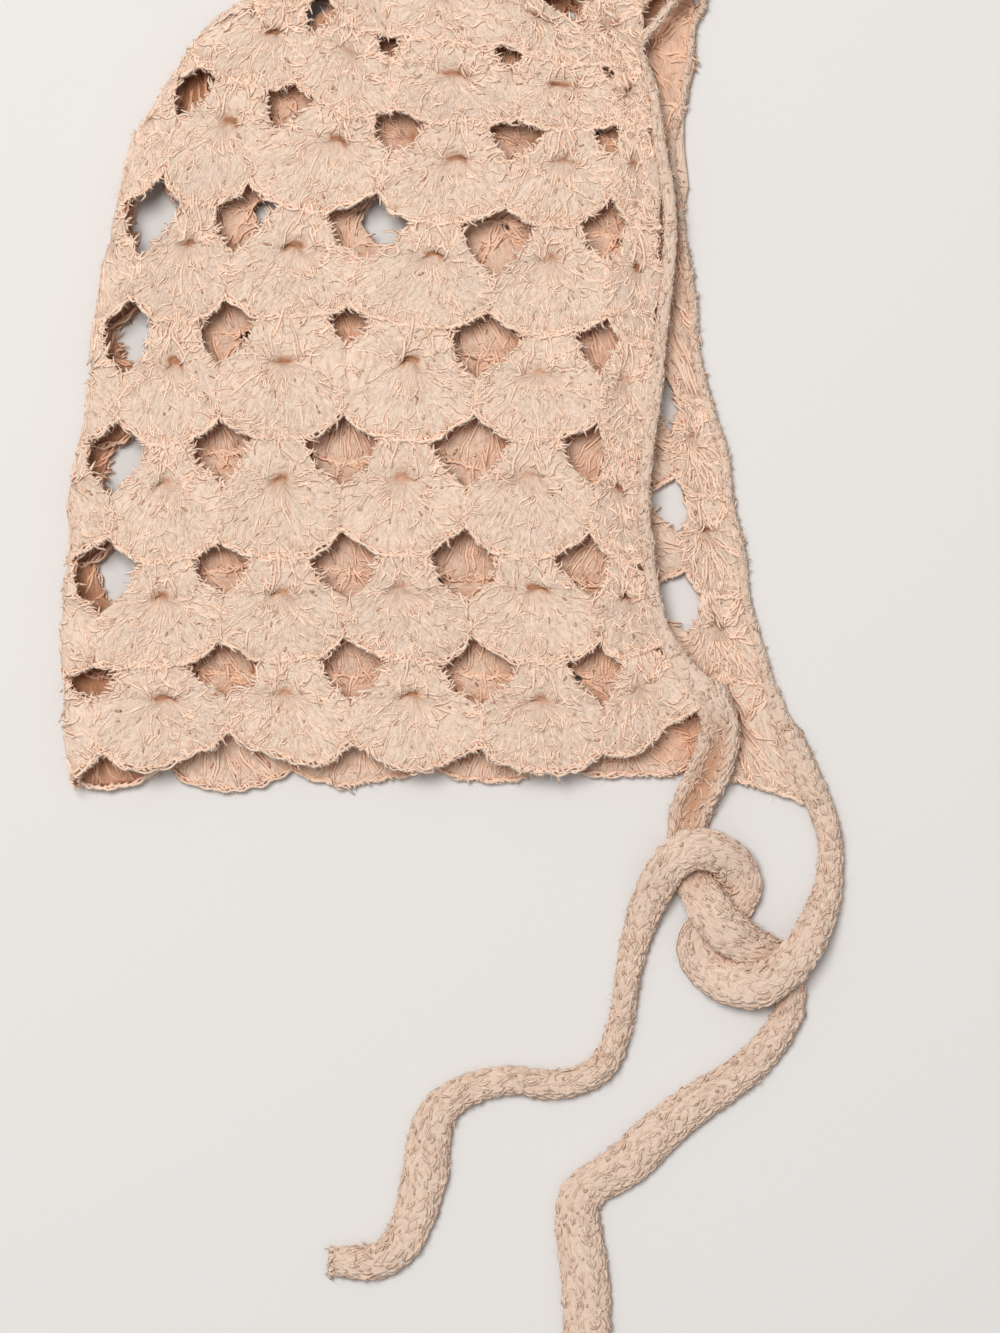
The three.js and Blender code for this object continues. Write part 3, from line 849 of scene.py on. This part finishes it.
# bands: the face edging and the ties
class Band:
    # a flat band along a line: its surface is asked for by length, turn and height
    def __init__(self, rows, thick, outwards, groove=None):
        rows = np.asarray(rows, float)
        both = np.column_stack([rows, np.zeros(len(rows)) if groove is None else groove])
        fine = evenPath(smoothPath(both, 6), 1.5)
        self.centre = fine[:, :3]
        self.half = fine[:, 3] / 2
        self.groove = np.clip(fine[:, 4], 0, 1)
        self.thick = thick / 2
        self.s = lengthsAlong(self.centre)
        self.length = self.s[-1]
        travel = travelOf(self.centre, 0)
        facing = np.broadcast_to(np.asarray(outwards, float), travel.shape)
        self.over = unit(facing - travel * (facing * travel).sum(axis=1, keepdims=True))
        self.across = np.cross(travel, self.over)

    def at(self, s, values):
        if values.ndim == 1:
            return np.interp(s, self.s, values)
        return np.stack([np.interp(s, self.s, values[:, k]) for k in range(values.shape[1])], axis=-1)

    def surface(self, s, turn, h):
        # turn is the angle round the band, a quarter turn being the middle of its upper side
        half = self.at(s, self.half)
        groove = self.at(s, self.groove)
        x = np.cos(turn)
        z = np.sin(turn)
        wide = (half + h) * np.sign(x) * np.abs(x) ** 0.8
        top = (self.thick + h) * np.sign(z) * np.abs(z) ** 0.9
        dent = groove * np.maximum(z, 0) * (3.3 * np.exp(-(x / 0.4) ** 2) - 0.9 * np.abs(x) ** 2)
        high = top - dent
        place = self.at(s, self.centre) + self.at(s, self.across) * wide[..., None]
        return keptOver(place + self.at(s, self.over) * high[..., None], bend["least"])

    def middle(self, turn):
        # 1 in the middle of the upper side, 0 at its edges and below
        return np.exp(-(np.cos(turn) / 0.42) ** 2) * (np.sin(turn) > 0)

    def core(self, bundle, around):
        # the closed body of the band, under its stitches, rounded off at both ends
        s = np.linspace(0, self.length, int(self.length / 1.6))
        turn = 2 * np.pi * np.arange(around) / around
        gridS, gridT = np.meshgrid(s, turn, indexing="ij")
        close = np.minimum(gridS, self.length - gridS)
        h = -0.2 - 1.6 * np.clip(1 - close / 2.5, 0, 1) ** 2
        points = self.surface(gridS, gridT, h)
        groove = self.at(gridS, self.groove) * self.middle(gridT)
        wide = 0.9 * self.at(gridS, self.half)
        grain = np.stack([wide * np.cos(gridT), 2.0 * np.sin(gridT), gridS / 2.6], axis=-1)
        # painted shade: a little deep colour all over, and darker, deeper colour in the groove
        bundle.add(points.reshape(-1, 3), ringFaces(1, len(s), around), (0.1 + 0.8 * groove).ravel(),
                   (0.5 - 1.6 * groove).ravel(), grain.reshape(-1, 3))

    def knit(self, bundle, stitch):
        # rows of slanting legs, two to a stitch
        pitch = stitch["pitch"]
        columns = stitch["columns"]
        rows = int(self.length / pitch) + 1
        grids = np.meshgrid(np.arange(rows), np.arange(columns), [-1, 1], indexing="ij")
        row, column, side = (grid.ravel() for grid in grids)
        step = 2 * np.pi / columns
        t = np.linspace(0, 1, 5)[None]
        wobble = draw.uniform(-1, 1, (len(row), 3))
        s0 = 0.6 + (row + 0.12 * wobble[:, 0]) * pitch
        turn0 = np.pi / 2 + (column - columns / 2 + 0.5) * step
        shown = np.sin(turn0) > stitch["lowest"]
        row, column, side, wobble, s0, turn0 = (v[shown] for v in (row, column, side, wobble, s0, turn0))
        groove = self.at(s0, self.groove) * self.middle(turn0)
        twist = 2 * np.pi * (0.7 * t) + wobble[:, 1:2] * 3
        slant = stitch["slant"]
        lean = (slant - 0.86 * slant * t * (1 + 0.5 * wobble[:, 1:2])) * side[:, None] * step
        turn = turn0[:, None] + lean + 0.16 * step * wobble[:, 2:3] + 0.10 * step * np.sin(twist)
        s = np.clip(s0[:, None] + 1.12 * pitch * t, 0.3, self.length - 0.3)
        h = -0.62 + stitch["relief"] * np.sin(np.pi * t) + 0.12 * np.cos(twist) + 0.15 * wobble[:, :1]
        low = self.surface(s, turn, h)
        up = unit(self.surface(s, turn, h + 0.5) - low + 1e-5)
        # painted shade: a little deep colour on every stitch, more in the groove
        shadeDepth = np.repeat(0.04 + 0.6 * groove, t.size * strand["sides"])
        bundle.strands(low, stitch["radius"], up, shadeDepth)
        # painted shade: dark lenses in some of the holes between the stitches
        holes = (side > 0) & (row % 2 == column % 2) & (draw.uniform(size=len(row)) < 0.75)
        s = np.stack([s0[holes], s0[holes] + 0.5], axis=1)
        turn = np.repeat(turn0[holes][:, None] + 0.5 * step, 2, axis=1)
        ends = self.surface(s, turn, 0.05)
        over = self.surface(s, turn, 0.5)
        along = unit(ends[:, 1] - ends[:, 0])
        shadeLenses(bundle, ends[:, 0], along, unit(over[:, 0] - ends[:, 0]), shadeLensSizes["knitted"])


# up the near face edge, round the slanted end of the fold and down the far face edge
edgingSet = {
    "inset": 2.9,      # middle of the band inside the face edge
    "thick": 3.2,
    "topWidth": 2.6,
    "slant": 6.0,
    "past": 5.5,
    # how far below the end of the fold each side stops, and its widths at a few levels
    "near": {"below": 21, "levels": [-111, -86, 75, 112], "widths": [10.5, 4.6, 4.6, 2.6]},
    "far": {"below": 15, "levels": [-128, -100, 75, 112], "widths": [8.5, 3.6, 3.6, 2.6]},
}


def edgingSide(face, side):
    # one face edge from the neck up, as rows of across, up, height and width
    levels = faceTop - faceStep * np.arange(len(face))
    line = smoothPath(np.column_stack([face, levels])[::-1], 4)
    inner = line - rightOf(line, 0) * edgingSet["inset"]
    if side == "near":
        z = upperMiddle(inner, nearestFold(inner)[0])
    else:
        z = np.full(len(inner), bend["lower"])
    wide = np.interp(inner[:, 1], edgingSet[side]["levels"], edgingSet[side]["widths"])
    keep = inner[:, 1] < foldCurve[-1, 1] - edgingSet[side]["below"]
    return np.column_stack([inner, z, wide])[keep]


def edgingTurn():
    # the half turn round the slanted end of the fold, from the upper layer to the lower one
    end = foldCurve[-1]
    n = foldInward[-1]
    rows = []
    for i in range(7):
        a = np.pi / 2 + np.pi * i / 6
        inwards = bend["radius"] + bend["middle"] * np.cos(a)
        up = bend["radius"] + bend["middle"] * np.sin(a)
        along = edgingSet["past"] - edgingSet["slant"] * (up - bend["radius"]) / bend["radius"]
        across = end[0] + n[0] * inwards - n[1] * along
        rows.append([across, end[1] + n[1] * inwards + n[0] * along, up, edgingSet["topWidth"]])
    return rows


edgingRows = np.concatenate([edgingSide(nearFace, "near"), edgingTurn(), edgingSide(farFace, "far")[::-1]])
edging = Band(edgingRows, edgingSet["thick"], [-1, 0, 0])
# this band faces the mouth with its edge, so its flat side is turned a quarter
edging.over, edging.across = edging.across, edging.over

# ties from the hood's corners to their free ends: across, up, height of the middle and width
nearTieRows = [
    [93.2, -106.5, 10.4, 11], [95.8, -113.7, 10.4, 12], [97.8, -118.8, 9.6, 12.5],
    [97.3, -125.5, 8.4, 13.5], [95.3, -132.5, 7, 14.5], [92.2, -139.5, 5, 14.5],
    [89.2, -146, 3.2, 14], [87.3, -152.5, 2.6, 13.5], [86.8, -160.5, 2.6, 12.5],
    [89.2, -171.5, 3.9, 12.5], [94, -181, 8.5, 14.5], [100.2, -188.6, 8.8, 15], [109, -194.6, 6, 13],
    [117.5, -198, 2.6, 10.5], [121.5, -205, 2.6, 9.2], [122.5, -211, 2.6, 9.2], [120.5, -219.5, 2.6, 10],
    [113.5, -229.5, 2.6, 11], [103.5, -239, 2.6, 12], [89, -248.5, 2.6, 13.5], [76, -259, 2.6, 15],
    [67.5, -267.5, 2.6, 15], [58, -273.5, 2.6, 14], [50.5, -279.5, 2.6, 14], [50, -290, 2.6, 15],
    [52, -304, 2.6, 16], [53, -318, 2.6, 16], [52.5, -335, 2.6, 15.5], [51, -355, 2.6, 14.5],
    [48.5, -374, 2.6, 13],
]
farTieRows = [
    [120.3, -120.5, 2.6, 8], [124, -129.6, 2.6, 9.5], [130.5, -143, 2.6, 8.5], [135, -156, 2.6, 8],
    [135.5, -169, 2.6, 8.5], [133, -181, 4, 10.5], [127.5, -192, 7.6, 12.5], [120, -201.5, 9, 13.5],
    [111.5, -207, 8, 15], [102, -207, 5.8, 15], [94, -202, 3.2, 14.5], [90.5, -194.5, 2.6, 14],
    [94, -187.5, 2.6, 13], [101.5, -182, 2.6, 13], [104.9, -174.5, 3.4, 14.6],
    [102.6, -167, 6, 13.6], [96, -162, 8.8, 13.6],
    [87.5, -161.5, 9.4, 13.6], [80, -167.5, 8.4, 13], [74.5, -178, 4.8, 12], [70.5, -189, 2.6, 10.5],
    [67, -203.5, 2.6, 8.5], [65, -217, 2.6, 8], [60, -233, 2.6, 9], [50.5, -240, 2.6, 9.5],
    [40, -241.5, 2.6, 9.5], [27, -240, 2.6, 9.5], [13.5, -243, 2.6, 10.5], [3.5, -249.5, 2.6, 12],
    [-0.5, -259, 2.6, 14], [-2, -272, 2.6, 15], [-6, -287, 2.6, 14], [-10.5, -296, 2.6, 13],
    [-19, -301.5, 2.6, 12], [-34.5, -301.5, 2.6, 9.5],
]
tieThick = 4.6
# the near tie is rolled inwards where it leaves the corner: how deep its groove is, row by row, which also
# sets its painted shade
nearGroove = np.interp(np.arange(len(nearTieRows)), [0, 1.5, 3.5, 6, 8, 11], [0, 0.1, 1, 1, 0.3, 0])
ties = {
    "near": Band(nearTieRows, tieThick, [0, 0, 1], nearGroove),
    "far": Band(farTieRows, tieThick, [0, 0, 1]),
}

# around is the points round the band's body, columns the stitches round it and pitch the length
# of a row. Nothing is knitted on a tie's underside, below lowest.
tieStitch = {"around": 24, "pitch": 4.0, "radius": 0.66, "lowest": -0.6, "slant": 0.34, "relief": 0.4}
stitches = {
    "edging": {
        "around": 16, "columns": 6, "pitch": 6.0, "radius": 0.42, "lowest": -2.0,
        "slant": 0.3, "relief": 0.2,
    },
    "near": {**tieStitch, "columns": 10},
    "far": {**tieStitch, "columns": 9},
}

knitted = {}
for name, band in {"edging": edging, **ties}.items():
    knitted[name] = Bundle()
    band.core(knitted[name], stitches[name]["around"])
    band.knit(knitted[name], stitches[name])
    locks(knitted[name], name, band.centre if name in ties else None)
print("bands ready")


# the brushed halo: fine tapering fibres that stand off the strands
def halo(bundles, count, longest):
    root, travel, up = pickedRoots(bundles, count)
    along = travel * draw.choice([-1, 1], (count, 1))
    way = unit(along + 0.9 * draw.normal(size=(count, 3)) + 0.35 * up)
    length = longest * draw.uniform(0.25, 1, (count, 1)) ** 1.5
    tip = root + length * way
    side = unit(np.cross(way, up + 1e-3))
    foot = root[:, None] + circles(side, np.cross(side, way)) * draw.uniform(0.05, 0.085, (count, 1, 1))
    points = keptOver(np.concatenate([foot, tip[:, None]], axis=1), tableGap)
    first = 4 * np.arange(count)[:, None]
    sides = np.concatenate([first + np.array([[i, (i + 1) % 3, 3]]) for i in range(3)])
    caps = first + np.array([[2, 1, 0]])
    fibres = Bundle()
    fibres.add(points.reshape(-1, 3), [np.concatenate([sides, caps])], 0.0,
               np.repeat(draw.uniform(0.3, 1, count), 4))
    return fibres


# materials
yarnNoise = {
    "patchScale": 90,    # soft patches of tone, over the whole piece
    "patchDetail": 3,
    # painted shade: the gap settings darken between the fibres, the shut settings deepen shut-in places
    "gapSlope": -4.5,    # how sharply the colour goes from pale to gap where the grain is low
    "gapLevel": 2.35,
    "shutSlope": -2.5,   # how sharply shut-in places take the deep colour
    "shutLevel": 0.98,
    "shutReach": 0.024,
}
fibreNoise = {"Scale": 1.0, "Detail": 2.5, "Roughness": 0.62, "Lacunarity": 2.4, "Distortion": 0.4}


def colourGroup():
    # yarn colour: pale on top, with painted shade browner between the fibres and orange in the hollows
    group = bpy.data.node_groups.new("yarnColour", "ShaderNodeTree")
    for name, way, kind in (
        ("Pale", "INPUT", "Color"), ("Gap", "INPUT", "Color"), ("Deep", "INPUT", "Color"),
        ("Spread", "INPUT", "Float"), ("Open", "INPUT", "Float"),
        ("Colour", "OUTPUT", "Color"), ("Height", "OUTPUT", "Float"),
    ):
        group.interface.new_socket(name=name, in_out=way, socket_type="NodeSocket" + kind)
    nodes = group.nodes
    links = group.links
    start = nodes.new("NodeGroupInput").outputs
    end = nodes.new("NodeGroupOutput").inputs

    def attribute(name, output):
        node = nodes.new("ShaderNodeAttribute")
        node.attribute_name = name
        return node.outputs[output]

    def noise(place, settings):
        node = nodes.new("ShaderNodeTexNoise")
        for name, value in settings.items():
            node.inputs[name].default_value = value
        links.new(place, node.inputs["Vector"])
        return node.outputs["Fac"]

    def sums(operation, *values):
        node = nodes.new("ShaderNodeMath")
        node.operation = operation
        for socket, value in zip(node.inputs, values):
            if isinstance(value, (int, float)):
                socket.default_value = value
            else:
                links.new(value, socket)
        return node.outputs[0]

    def mixed(factor, a, b):
        node = nodes.new("ShaderNodeMix")
        node.data_type = "RGBA"
        for name, value in (("Factor", factor), ("A", a), ("B", b)):
            links.new(value, node.inputs[name])
        return node.outputs["Result"]

    place = nodes.new("ShaderNodeTexCoord").outputs["Object"]
    patches = noise(place, {"Scale": yarnNoise["patchScale"], "Detail": yarnNoise["patchDetail"]})
    fibres = noise(attribute("grain", "Vector"), fibreNoise)
    # painted shade between the fibres: where the grain is low the colour turns to the gap colour
    gaps = sums("MULTIPLY_ADD", fibres, yarnNoise["gapSlope"], yarnNoise["gapLevel"])
    surface = mixed(gaps, start["Pale"], start["Gap"])
    # painted shade: shut-in places take the deep colour, in place of the light sent from strand to strand
    shutShade = sums("MULTIPLY_ADD", start["Open"], yarnNoise["shutSlope"], yarnNoise["shutLevel"])
    whole = sums("ADD", sums("MAXIMUM", shutShade, 0.0), attribute("shadeDepth", "Fac"))
    colour = mixed(whole, surface, start["Deep"])
    centred = sums("SUBTRACT", sums("ADD", attribute("tone", "Fac"), patches), 1.0)
    scaled = sums("MULTIPLY_ADD", centred, start["Spread"], 1.0)
    shade = nodes.new("ShaderNodeVectorMath")
    shade.operation = "SCALE"
    links.new(colour, shade.inputs[0])
    links.new(scaled, shade.inputs["Scale"])
    links.new(shade.outputs[0], end["Colour"])
    links.new(fibres, end["Height"])
    return group


yarnGroup = colourGroup()
# gap and deep are painted shade colours: between the fibres, and in the hollows
yarnSet = {
    "feltedYarn": {
        "pale": (0.92, 0.735, 0.60), "gap": (0.76, 0.53, 0.40), "deep": (0.82, 0.36, 0.175),
        "spread": 0.16, "bump": 0.8, "through": 0.14,
    },
    "shellYarn": {
        "pale": (0.86, 0.685, 0.56), "gap": (0.77, 0.555, 0.425), "deep": (0.84, 0.42, 0.23),
        "spread": 0.12, "bump": 0.3,
    },
    "tieYarn": {
        "pale": (0.735, 0.598, 0.50), "gap": (0.64, 0.47, 0.365), "deep": (0.66, 0.35, 0.20),
        "spread": 0.14, "bump": 0.5,
    },
    "haloFibre": {
        "pale": (0.97, 0.80, 0.67), "gap": (0.92, 0.70, 0.55), "deep": (0.92, 0.55, 0.37),
        "spread": 0.1,
    },
}
yarnFinish = {
    "Roughness": 0.95,
    "Specular IOR Level": 0.2,
    "Sheen Weight": 0.08,
    "Sheen Roughness": 0.5,
    "Sheen Tint": (1.0, 0.9, 0.82, 1),
}
throughColour = (1.0, 0.60, 0.38, 1)
bumpDepth = 0.0018


def newMaterial(name, finish):
    material = bpy.data.materials.new(name)
    material.use_nodes = True
    shader = material.node_tree.nodes["Principled BSDF"]
    for socket, value in finish.items():
        shader.inputs[socket].default_value = value
    return material, shader


def yarnMaterial(name, look):
    material, shader = newMaterial(name, yarnFinish)
    nodes = material.node_tree.nodes
    links = material.node_tree.links
    colour = nodes.new("ShaderNodeGroup")
    colour.node_tree = yarnGroup
    for socket in ("Pale", "Gap", "Deep"):
        colour.inputs[socket].default_value = (*look[socket.lower()], 1)
    colour.inputs["Spread"].default_value = look["spread"]
    colour.inputs["Open"].default_value = 1.0
    links.new(colour.outputs["Colour"], shader.inputs["Base Color"])
    if "bump" in look:
        # yarn takes painted shade in its hollows and has a grain, and the fibres of the halo are too thin
        # for them
        around = nodes.new("ShaderNodeAmbientOcclusion")  # how open a spot is to its surroundings
        around.samples = 2
        around.inputs["Distance"].default_value = yarnNoise["shutReach"]
        links.new(around.outputs["AO"], colour.inputs["Open"])
        bump = nodes.new("ShaderNodeBump")
        bump.inputs["Strength"].default_value = look["bump"]
        bump.inputs["Distance"].default_value = bumpDepth
        links.new(colour.outputs["Height"], bump.inputs["Height"])
        links.new(bump.outputs["Normal"], shader.inputs["Normal"])
    if "through" in look:
        # some light comes through the loose crochet and reddens its hollows
        glow = nodes.new("ShaderNodeBsdfTranslucent")
        glow.inputs["Color"].default_value = throughColour
        both = nodes.new("ShaderNodeMixShader")
        both.inputs["Fac"].default_value = look["through"]
        links.new(shader.outputs["BSDF"], both.inputs[1])
        links.new(glow.outputs["BSDF"], both.inputs[2])
        links.new(both.outputs["Shader"], nodes["Material Output"].inputs["Surface"])
    return material


yarns = {name: yarnMaterial(name, look) for name, look in yarnSet.items()}
print("materials ready")


# pieces
def finishPiece(bundle, name, yarn, node):
    # the lower layer's pieces take painted shade where the upper layer covers them
    piece = bundle.build(name, underShade["lower"] if name.startswith("lower") else 0)
    piece.data.materials.append(yarns[yarn])
    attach(piece, "root")
    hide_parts(node)
    return piece


# the strands that each halo stands on, how many fibres it has and how long the longest are
haloSet = {
    "upper": ([upperPosts, upperRims, upperTufts], 22000, 6.0),
    "lower": ([lowerStrands, lowerTufts], 6500, 5.0),
    "edging": ([knitted["edging"]], 5000, 4.0),
    "near": ([knitted["near"]], 5000, 4.0),
    "far": ([knitted["far"]], 6000, 4.0),
}
halos = {name: halo(*look) for name, look in haloSet.items()}

for bundle, name, yarn in (
    (upperCloth, "upper_shell_cloth", "feltedYarn"),
    (upperPosts, "upper_shell_posts", "shellYarn"),
    (upperTufts, "upper_shell_tufts", "shellYarn"),
    (lowerTufts, "lower_shell_tufts", "shellYarn"),
    (upperRims, "upper_shell_rims", "shellYarn"),
    (foldInside, "fold_inside_posts", "shellYarn"),
    (halos["upper"], "upper_halo", "haloFibre"),
    (lowerCloth, "lower_shell_cloth", "feltedYarn"),
    (lowerStrands, "lower_shell_strands", "shellYarn"),
    (halos["lower"], "lower_halo", "haloFibre"),
):
    finishPiece(bundle, name, yarn, "hood")
finishPiece(knitted["edging"], "face_edging_yarn", "tieYarn", "face_edging")
finishPiece(halos["edging"], "face_edging_halo", "haloFibre", "face_edging")

tieHalos = {
    name: finishPiece(halos[name], name + "_tie_halo", "haloFibre", name + "_tie")
    for name in ties
}
for name in ties:
    piece = finishPiece(knitted[name], name + "_tie_knit", "tieYarn", name + "_tie")


# floor and light
studio = {
    "floor": {"Base Color": (0.695, 0.685, 0.678, 1), "Roughness": 0.9},
    "floorHalf": 3.0,
    "world": (1.0, 0.985, 0.97),
    "worldStrength": 0.40,
    "keyColour": (1.0, 0.98, 0.95),
    "keyPower": 62.0,
    "keySize": 1.2,
    "keyPlace": (-0.60, 0.63, 2.5),
}


def makeStudio():
    size = studio["floorHalf"]
    corners = [(-size, -size, 0), (size, -size, 0), (size, size, 0), (-size, size, 0)]
    mesh = bpy.data.meshes.new("floor")
    mesh.from_pydata(corners, [], [(0, 1, 2, 3)])
    floor = placed("floor", mesh)
    mesh.materials.append(newMaterial("floorPaint", studio["floor"])[0])
    world = bpy.data.worlds.new("studio")
    world.use_nodes = True
    background = world.node_tree.nodes["Background"]
    background.inputs["Color"].default_value = (*studio["world"], 1)
    background.inputs["Strength"].default_value = studio["worldStrength"]
    bpy.context.scene.world = world
    light = bpy.data.lights.new("key", "AREA")
    light.energy = studio["keyPower"]
    light.size = studio["keySize"]
    light.color = studio["keyColour"]
    lamp = placed("key", light)
    lamp.location = studio["keyPlace"]
    aim = -lamp.location.normalized()
    lamp.rotation_mode = "QUATERNION"
    lamp.rotation_quaternion = aim.to_track_quat("-Z", "Y")
    bpy.context.scene.view_settings.view_transform = "Standard"


makeStudio()
print("studio ready")
